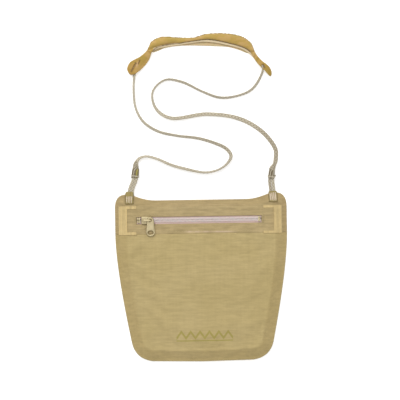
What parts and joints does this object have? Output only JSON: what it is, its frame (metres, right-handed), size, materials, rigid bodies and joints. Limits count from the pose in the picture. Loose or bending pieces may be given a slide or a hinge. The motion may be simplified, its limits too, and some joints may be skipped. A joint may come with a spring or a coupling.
{
  "type": "neck pouch wallet",
  "caption": "Flat fabric neck pouch with a zip compartment, worn on a braided neck cord that runs through a soft neck band.",
  "frame": {"origin": "middle of the pouch's back face, on the surface the pouch lies on", "axes": "+Z out of the pouch's front, +Y towards the neck band, +X to the right as seen from the front"},
  "size_m": [0.172, 0.3286, 0.0119],
  "materials": {
    "pouch_fabric": "thin slubby olive-beige ripstop",
    "lining": "thin plain lining",
    "bracket_tape": "light ribbed tape",
    "zip_tape": "woven polyester tape",
    "zip_coil": "satin nylon coil",
    "zip_metal": "pale satin zinc alloy",
    "thread": "dense zigzag stitching",
    "cord": "flat braid",
    "neck_band": "soft brushed fabric"
  },
  "bodies": {
    "pouch": {"back_panel": "pouch_fabric", "inner_divider": "lining", "front_panel": "pouch_fabric", "zip_panel": "pouch_fabric", "top_yoke": "pouch_fabric", "zip_bracket_left": "bracket_tape", "zip_bracket_right": "bracket_tape", "cord_tab_left": "pouch_fabric", "cord_tab_right": "pouch_fabric", "bar_tack_left": "thread", "bar_tack_right": "thread", "zip_tape_lower": "zip_tape", "zip_tape_upper": "zip_tape", "zip_coil_lower": "zip_coil", "zip_coil_upper": "zip_coil", "top_stop_lower": "zip_metal", "top_stop_upper": "zip_metal", "bottom_stop": "zip_metal", "zip_tack_left": "thread", "zip_tack_right": "thread", "neck_cord": "cord", "cord_strand_left_inner": "cord", "cord_strand_left_outer": "cord", "cord_strand_right_inner": "cord", "cord_strand_right_outer": "cord", "cord_knot_left": "cord", "cord_knot_right": "cord", "neck_band_front": "neck_band", "neck_band_back": "neck_band"},
    "zip_slider": {"slider_body": "zip_metal", "slider_bridge": "zip_metal"},
    "pull_tab": {"pull_tab": "zip_metal"}
  },
  "joints": [
    {"name": "zip_slide", "type": "slide", "parent": "pouch", "child": "zip_slider", "axis": [1, 0, 0], "range_m": [0, 0.1044]},
    {"name": "pull_tab_swing", "type": "hinge", "parent": "zip_slider", "child": "pull_tab", "pos_m": [-0.0504, 0.058, 0.0098], "axis": [0, 0, 1], "range_deg": [-50, 225]}
  ]
}
